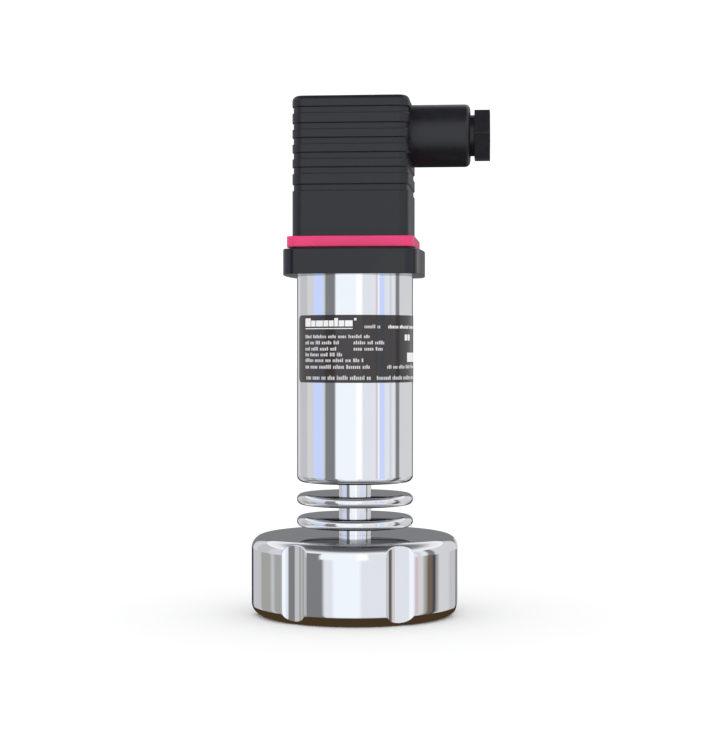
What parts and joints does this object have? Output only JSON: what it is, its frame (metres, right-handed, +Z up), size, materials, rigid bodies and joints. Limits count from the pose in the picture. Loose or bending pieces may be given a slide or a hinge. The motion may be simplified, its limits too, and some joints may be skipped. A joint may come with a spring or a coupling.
{
  "type": "hydrostatic level transmitter",
  "caption": "Polished steel level transmitter with a union nut below, finned neck, round housing with wrap-round label, and a square black right-angle cable plug on a pink gasket.",
  "frame": {"origin": "centre of the union nut's rim, on the instrument's axis", "axes": "+Z up the instrument, +X the way the cable leaves the plug, front towards -Y"},
  "size_m": [0.0571, 0.0498, 0.1231],
  "materials": {
    "polished_steel": "mirror-polished stainless steel",
    "diaphragm_steel": "rolled stainless foil, satin",
    "plain_steel": "turned stainless steel",
    "zinc_steel": "zinc-plated steel",
    "label_laminate": "dark printed laminate, glossy",
    "black_plastic": "fine-grained black polyamide",
    "base_plastic": "smooth black polyamide",
    "grey_plastic": "moulded dark grey polyamide",
    "gasket_silicone": "pink-red silicone rubber",
    "black_rubber": "moulded nitrile rubber",
    "brass": "turned brass",
    "tinned_brass": "tin-plated brass",
    "gold_pins": "gold-plated pins",
    "board_laminate": "green circuit board with solder resist",
    "component_plastic": "moulded component cases",
    "wire_sleeve": "thin insulated wire"
  },
  "bodies": {
    "sensor_body": {"housing_tube": "polished_steel", "cooling_neck": "polished_steel", "process_liner": "polished_steel", "diaphragm": "diaphragm_steel", "label": "label_laminate", "sensor_capsule": "plain_steel", "capsule_seal": "black_rubber", "capsule_pins": "gold_pins", "capsule_lock_ring": "plain_steel", "board_holder": "black_plastic", "main_board": "board_laminate", "board_components": "component_plastic", "sensor_wires": "wire_sleeve", "connector_base": "base_plastic", "base_seal": "black_rubber", "threaded_insert": "brass", "contact_blade_1": "tinned_brass", "contact_blade_2": "tinned_brass", "contact_blade_3": "tinned_brass", "earth_blade": "tinned_brass", "output_wires": "wire_sleeve", "profile_gasket": "gasket_silicone"},
    "union_nut": {"union_nut": "polished_steel"},
    "plug": {"plug_housing": "black_plastic", "contact_carrier": "grey_plastic", "socket_contact_1": "tinned_brass", "socket_contact_2": "tinned_brass", "socket_contact_3": "tinned_brass", "earth_socket": "tinned_brass", "terminal_screws": "zinc_steel", "gland_seal": "black_rubber"},
    "screw_slide": {"screw_seal": "black_rubber"},
    "fixing_screw": {"fixing_screw": "zinc_steel"},
    "gland_slide": {"gland_washer": "zinc_steel"},
    "gland_nut": {"cable_gland_nut": "black_plastic"}
  },
  "joints": [
    {"name": "union_nut_turn", "type": "hinge", "parent": "sensor_body", "child": "union_nut", "pos_m": [0, 0, 0.0095], "axis": [0, 0, 1], "continuous": true},
    {"name": "plug_lift", "type": "slide", "parent": "sensor_body", "child": "plug", "axis": [0, 0, 1], "range_m": [0, 0.02]},
    {"name": "screw_rise", "type": "slide", "parent": "plug", "child": "screw_slide", "axis": [0, 0, 1], "range_m": [0, 0.004]},
    {"name": "fixing_screw_turn", "type": "hinge", "parent": "screw_slide", "child": "fixing_screw", "pos_m": [0, 0, 0.12], "axis": [0, 0, 1], "range_deg": [0, 2881]},
    {"name": "gland_nut_draw", "type": "slide", "parent": "plug", "child": "gland_slide", "axis": [1, 0, 0], "range_m": [0, 0.006]},
    {"name": "gland_nut_turn", "type": "hinge", "parent": "gland_slide", "child": "gland_nut", "pos_m": [0.03, 0, 0.11475], "axis": [1, 0, 0], "range_deg": [0, 2161]}
  ],
  "couplings": [
    {"joint": "fixing_screw_turn", "follows": "screw_rise", "rad_per_m": 12566},
    {"joint": "gland_nut_turn", "follows": "gland_nut_draw", "rad_per_m": 6283.2}
  ]
}
